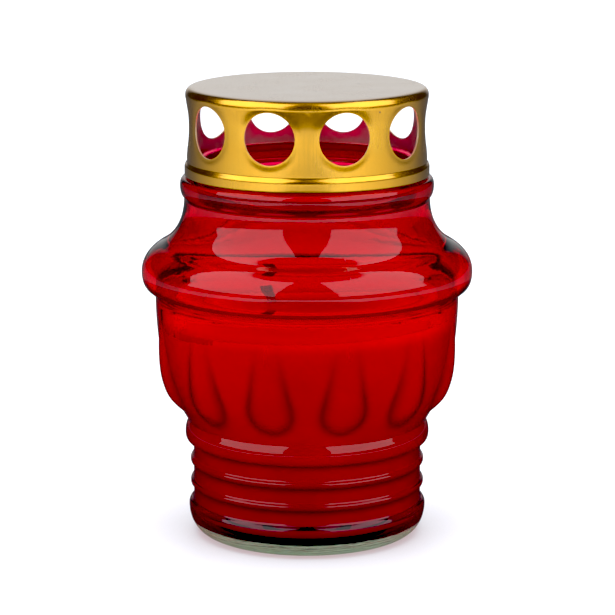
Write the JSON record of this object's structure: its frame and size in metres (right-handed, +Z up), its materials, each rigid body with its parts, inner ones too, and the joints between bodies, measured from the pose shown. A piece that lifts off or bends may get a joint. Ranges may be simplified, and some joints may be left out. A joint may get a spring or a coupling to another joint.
{
  "type": "sanctuary lamp",
  "caption": "Round red glass lamp with a barrel shoulder, drop-bossed cup, beaded foot, poured wax with a wick, and a vented lift-off metal cap.",
  "frame": {"origin": "middle of the flat foot ring, on the surface that the lamp stands on", "axes": "+Z up along the axis of revolution; -Y is the side seen from the front, midway between two vents and two drops"},
  "size_m": [0.097, 0.097, 0.1328],
  "materials": {
    "red_glass": "glossy clear glass with a transparent red lacquer on its outside, bare and faintly green at the foot ring",
    "gold_lacquered_tinplate": "satin gold lacquer over tinplate, drawn and punched, with bright cut edges",
    "paraffin": "poured translucent white paraffin, waxy sheen",
    "wick_cord": "braided cotton cord soaked in wax, darkened at the tip",
    "plain_tinplate": "thin bare tinplate",
    "adhesive": "soft white adhesive pad"
  },
  "bodies": {
    "jar": {"glass_jar": "red_glass", "wax_fill": "paraffin", "wick": "wick_cord", "wick_sustainer": "plain_tinplate", "adhesive_pad": "adhesive"},
    "cap": {"vented_cap": "gold_lacquered_tinplate"}
  },
  "joints": [
    {"name": "cap_lift", "type": "slide", "parent": "jar", "child": "cap", "axis": [0, 0, 1], "range_m": [0, 0.05]}
  ]
}
